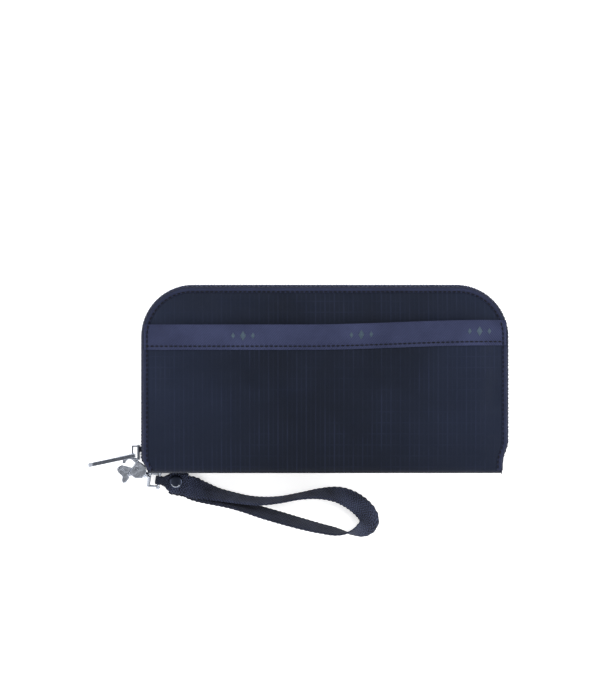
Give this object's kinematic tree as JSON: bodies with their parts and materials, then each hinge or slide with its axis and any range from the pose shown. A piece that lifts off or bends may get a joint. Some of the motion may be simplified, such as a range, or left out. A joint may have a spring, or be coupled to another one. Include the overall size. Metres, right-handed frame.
{
  "type": "zip around wallet",
  "caption": "Long zip-around wallet in navy ripstop nylon with a front slip pocket, card pockets, a coin pocket and a clip-on wrist strap.",
  "frame": {"origin": "centre of the back face, which the wallet lies on", "axes": "+X along the spine, away from the closed end of the zipper; +Y from the spine to the zipped top edge; +Z through the thickness, out of the front face"},
  "size_m": [0.2243, 0.1359, 0.0258],
  "materials": {
    "ripstop": "matt navy ripstop nylon",
    "ribbon": "navy twill tape",
    "lining": "grey polyester lining",
    "foam": "closed foam padding",
    "zip_tape": "woven navy zipper tape",
    "zip_coil": "nylon coil",
    "webbing": "woven navy webbing",
    "nickel": "nickel plated zinc",
    "rivet_metal": "dark lacquered rivet",
    "spring_steel": "spring wire"
  },
  "bodies": {
    "back_cover": {"back_shell": "ripstop", "back_foam": "foam", "back_lining": "lining", "back_card_pocket_1": "lining", "back_card_pocket_2": "lining", "back_card_pocket_3": "lining", "back_card_pocket_4": "lining", "back_zip_tape": "zip_tape", "back_zip_teeth": "zip_coil", "zip_end_stops": "nickel", "back_spine": "ripstop"},
    "divider": {"divider_spine": "ripstop", "coin_back_wall": "lining", "coin_front_wall": "lining", "coin_side_seams": "lining", "gusset_left": "ripstop", "gusset_right": "ripstop", "coin_zip_tapes": "zip_tape", "coin_zip_teeth": "zip_coil"},
    "coin_slider": {"coin_slider": "nickel"},
    "coin_puller": {"coin_puller": "nickel"},
    "front_cover": {"front_spine": "ripstop", "front_shell": "ripstop", "front_foam": "foam", "front_lining": "lining", "front_card_pocket_1": "lining", "front_card_pocket_2": "lining", "front_card_pocket_3": "lining", "front_card_pocket_4": "lining", "front_zip_tape": "zip_tape", "front_zip_teeth": "zip_coil", "slip_pocket": "ripstop", "pocket_band": "ribbon"},
    "zip_slider": {"slider_body": "nickel", "slider_bail": "nickel"},
    "zip_puller": {"zip_puller": "nickel"},
    "clasp": {"clasp_body": "nickel", "clasp_pin": "nickel", "clasp_spring": "spring_steel"},
    "clasp_trigger": {"clasp_trigger": "nickel"},
    "swivel": {"swivel_loop": "nickel"},
    "wrist_strap": {"strap_webbing": "webbing", "strap_tab": "webbing", "strap_rivet": "rivet_metal"}
  },
  "joints": [
    {"name": "divider_open", "type": "hinge", "parent": "back_cover", "child": "divider", "pos_m": [0, -0.049, 0.0125], "axis": [1, 0, 0], "range_deg": [0, 45]},
    {"name": "cover_open", "type": "hinge", "parent": "divider", "child": "front_cover", "pos_m": [0, -0.049, 0.0125], "axis": [1, 0, 0], "range_deg": [0, 45]},
    {"name": "zip_slide", "type": "slide", "parent": "back_cover", "child": "zip_slider", "axis": [0, 1, 0], "range_m": [0, 0.005]},
    {"name": "puller_lift", "type": "hinge", "parent": "zip_slider", "child": "zip_puller", "pos_m": [-0.10225, -0.0413, 0.0125], "axis": [0, -1, 0], "range_deg": [0, 8]},
    {"name": "clasp_swing", "type": "hinge", "parent": "zip_puller", "child": "clasp", "pos_m": [-0.104, -0.0454, 0.0105], "axis": [0, 0, 1], "range_deg": [-25, 0]},
    {"name": "trigger_pull", "type": "hinge", "parent": "clasp", "child": "clasp_trigger", "pos_m": [-0.10046, -0.04769, 0.00961], "axis": [0.166, -0.1251, 0.9781], "range_deg": [0, 20], "stiffness_Nm_per_rad": 0.02, "springref_deg": -11.46},
    {"name": "swivel_turn", "type": "hinge", "parent": "clasp", "child": "swivel", "pos_m": [-0.09541, -0.05187, 0.00821], "axis": [-0.7812, 0.5887, 0.2079], "range_deg": [-90, 0]},
    {"name": "strap_lift", "type": "hinge", "parent": "swivel", "child": "wrist_strap", "pos_m": [-0.0889, -0.055, 0.0031], "axis": [0.1392, 0.9903, 0], "range_deg": [-30, 0]},
    {"name": "coin_zip_slide", "type": "slide", "parent": "divider", "child": "coin_slider", "axis": [1, 0, 0], "range_m": [0, 0.142]},
    {"name": "coin_puller_swing", "type": "hinge", "parent": "coin_slider", "child": "coin_puller", "pos_m": [-0.0735, 0.0401, 0.0125], "axis": [0, 0, 1], "range_deg": [0, 8]}
  ],
  "couplings": [
    {"joint": "cover_open", "follows": "divider_open", "ratio": 1},
    {"joint": "clasp_swing", "follows": "zip_slide", "rad_per_m": -87.266}
  ]
}
